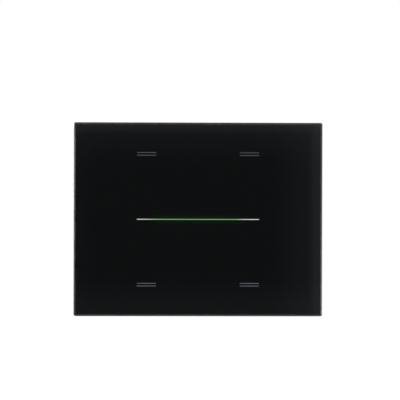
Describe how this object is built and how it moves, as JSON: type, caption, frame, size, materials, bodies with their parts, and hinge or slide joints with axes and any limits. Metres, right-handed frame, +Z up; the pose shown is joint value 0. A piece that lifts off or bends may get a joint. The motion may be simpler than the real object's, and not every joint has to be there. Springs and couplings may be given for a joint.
{
  "type": "glass keypad switch",
  "caption": "Wall light switch with a dark glass touch plate, light line and touch marks, on a clip-on tray over a steel frame with an electronics housing and a pull-off terminal plug.",
  "frame": {"origin": "centre of the plate on the wall plane, between the two fixing screws", "axes": "+X to the right seen from the room, +Y into the wall, +Z up"},
  "size_m": [0.122, 0.0419, 0.095],
  "materials": {
    "clear_glass": "polished float glass with bevelled edges",
    "black_film": "opaque black print",
    "clear_adhesive": "translucent transfer adhesive",
    "copper": "copper foil",
    "green_board": "solder resist on glass fibre board",
    "diffuser": "milky light guide",
    "lamp_package": "lamp with phosphor window",
    "chip_resin": "moulded resin",
    "chip_ceramic": "ceramic chip",
    "black_plastic": "moulded",
    "foam_tape": "foam tape",
    "tray_plastic": "moulded, fine texture",
    "zinc_steel": "zinc plated pressed steel",
    "spring_steel": "spring steel",
    "screw_steel": "zinc plated",
    "housing_plastic": "moulded, fine texture",
    "contact_metal": "plated brass",
    "ferrite": "shielded ferrite",
    "can_metal": "drawn can",
    "button_plastic": "moulded",
    "clear_plastic": "moulded light pipe",
    "plug_plastic": "moulded terminal plastic",
    "clamp_metal": "plated steel"
  },
  "bodies": {
    "base": {"mounting_frame": "zinc_steel", "spring_clips": "spring_steel", "box_screws": "screw_steel", "housing_cover": "housing_plastic", "rear_housing": "housing_plastic", "housing_screws": "screw_steel", "logic_board": "green_board", "head_header": "black_plastic", "head_pins": "contact_metal", "microcontroller": "chip_resin", "bus_chip": "chip_resin", "power_inductor": "ferrite", "crystal": "can_metal", "storage_capacitor": "can_metal", "board_chips": "chip_ceramic", "program_switch": "black_plastic", "program_light": "clear_plastic", "program_led": "lamp_package", "bus_header": "plug_plastic", "bus_pins": "contact_metal"},
    "touch_head": {"glass_plate": "clear_glass", "mask_film": "black_film", "adhesive_sheet": "clear_adhesive", "touch_electrodes": "copper", "touch_board": "green_board", "light_guide": "diffuser", "mark_guides": "diffuser", "line_leds": "lamp_package", "mark_leds": "lamp_package", "touch_controller": "chip_resin", "chip_parts": "chip_ceramic", "head_socket": "black_plastic", "tape_ring": "foam_tape", "front_tray": "tray_plastic"},
    "bus_plug": {"plug_body": "plug_plastic", "plug_contacts": "contact_metal"},
    "program_button": {"program_button": "button_plastic", "switch_plunger": "button_plastic"},
    "terminal_screw_left": {"terminal_screw_left": "screw_steel"},
    "clamp_left": {"clamp_left": "clamp_metal"},
    "terminal_screw_right": {"terminal_screw_right": "screw_steel"},
    "clamp_right": {"clamp_right": "clamp_metal"}
  },
  "joints": [
    {"name": "glass_pull", "type": "slide", "parent": "base", "child": "touch_head", "axis": [0, -1, 0], "range_m": [0, 0.014]},
    {"name": "bus_plug_pull", "type": "slide", "parent": "base", "child": "bus_plug", "axis": [0, 1, 0], "range_m": [0, 0.009]},
    {"name": "program_press", "type": "slide", "parent": "base", "child": "program_button", "axis": [0, 1, 0], "range_m": [0, 0.00035], "stiffness_N_per_m": 4000},
    {"name": "terminal_left_turn", "type": "hinge", "parent": "bus_plug", "child": "terminal_screw_left", "pos_m": [-0.01654, 0.0253, 0.005], "axis": [0, 0, -1], "range_deg": [0, 1440]},
    {"name": "clamp_left_rise", "type": "slide", "parent": "bus_plug", "child": "clamp_left", "axis": [0, 0, 1], "range_m": [0, 0.002]},
    {"name": "terminal_right_turn", "type": "hinge", "parent": "bus_plug", "child": "terminal_screw_right", "pos_m": [-0.01146, 0.0253, 0.005], "axis": [0, 0, -1], "range_deg": [0, 1440]},
    {"name": "clamp_right_rise", "type": "slide", "parent": "bus_plug", "child": "clamp_right", "axis": [0, 0, 1], "range_m": [0, 0.002]}
  ],
  "couplings": [
    {"joint": "terminal_left_turn", "follows": "clamp_left_rise", "rad_per_m": 12566},
    {"joint": "terminal_right_turn", "follows": "clamp_right_rise", "rad_per_m": 12566}
  ]
}
